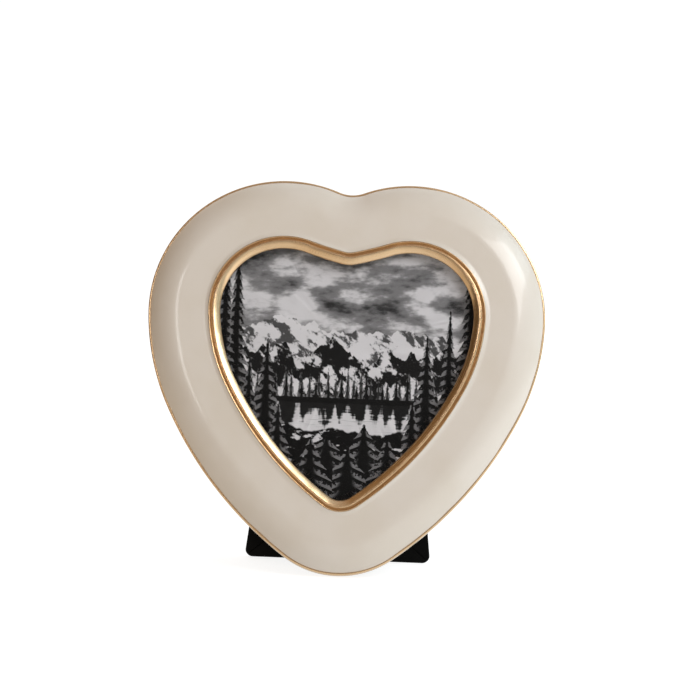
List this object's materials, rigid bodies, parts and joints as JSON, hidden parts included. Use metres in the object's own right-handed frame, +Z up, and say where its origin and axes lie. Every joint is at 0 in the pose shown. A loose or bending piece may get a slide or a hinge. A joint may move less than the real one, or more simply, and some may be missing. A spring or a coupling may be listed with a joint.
{
  "type": "heart shaped photo frame",
  "caption": "Heart shaped table photo frame: cream enamel moulding with gilt rim and beaded sight edge, glazed picture, turn buttons and a folding black easel leg.",
  "frame": {"origin": "on the table under the middle of the bounding box, with the frame standing on its tip and its open easel leg", "axes": "+X to the viewer's right, +Y from the front to the back, +Z up"},
  "size_m": [0.1548, 0.0586, 0.1514],
  "materials": {
    "gilt": "polished gilt",
    "enamel": "glossy cream enamel",
    "glass": "clear",
    "print": "satin photographic paper",
    "card": "plain",
    "board": "raw hardboard",
    "cover": "black grained leatherette",
    "lining": "black lining paper",
    "brass": "satin",
    "screw": "satin"
  },
  "bodies": {
    "frame": {"frame_casting": "gilt", "enamel_face": "enamel", "sight_bezel": "gilt", "glass_pane": "glass", "photo_print": "print", "backing_card": "card", "back_board": "board", "back_cover": "cover", "back_plate": "gilt", "plate_screws": "screw", "turn_button_screws": "screw", "turn_button_washers": "screw", "hinge_back_leaf": "brass", "hinge_pin": "brass", "hinge_back_rivets": "brass"},
    "easel_leg": {"leg_board": "board", "leg_cover": "cover", "leg_lining": "lining", "hinge_leg_leaf": "brass", "hinge_leg_rivets": "brass"},
    "turn_button_upper_left_body": {"turn_button_upper_left": "brass"},
    "turn_button_upper_right_body": {"turn_button_upper_right": "brass"},
    "turn_button_lower_left_body": {"turn_button_lower_left": "brass"},
    "turn_button_lower_right_body": {"turn_button_lower_right": "brass"}
  },
  "joints": [
    {"name": "leg_fold", "type": "hinge", "parent": "frame", "child": "easel_leg", "pos_m": [0, 0.00478, 0.1008], "axis": [1, 0, 0], "range_deg": [-26, 0]},
    {"name": "upper_left_button_turn", "type": "hinge", "parent": "frame", "child": "turn_button_upper_left_body", "pos_m": [-0.03509, 0.01041, 0.13008], "axis": [0, 0.9744, -0.225], "continuous": true},
    {"name": "upper_right_button_turn", "type": "hinge", "parent": "frame", "child": "turn_button_upper_right_body", "pos_m": [0.03509, 0.01041, 0.13008], "axis": [0, 0.9744, -0.225], "continuous": true},
    {"name": "lower_left_button_turn", "type": "hinge", "parent": "frame", "child": "turn_button_lower_left_body", "pos_m": [-0.0565, -0.00047, 0.08296], "axis": [0, 0.9744, -0.225], "continuous": true},
    {"name": "lower_right_button_turn", "type": "hinge", "parent": "frame", "child": "turn_button_lower_right_body", "pos_m": [0.0565, -0.00047, 0.08296], "axis": [0, 0.9744, -0.225], "continuous": true}
  ]
}
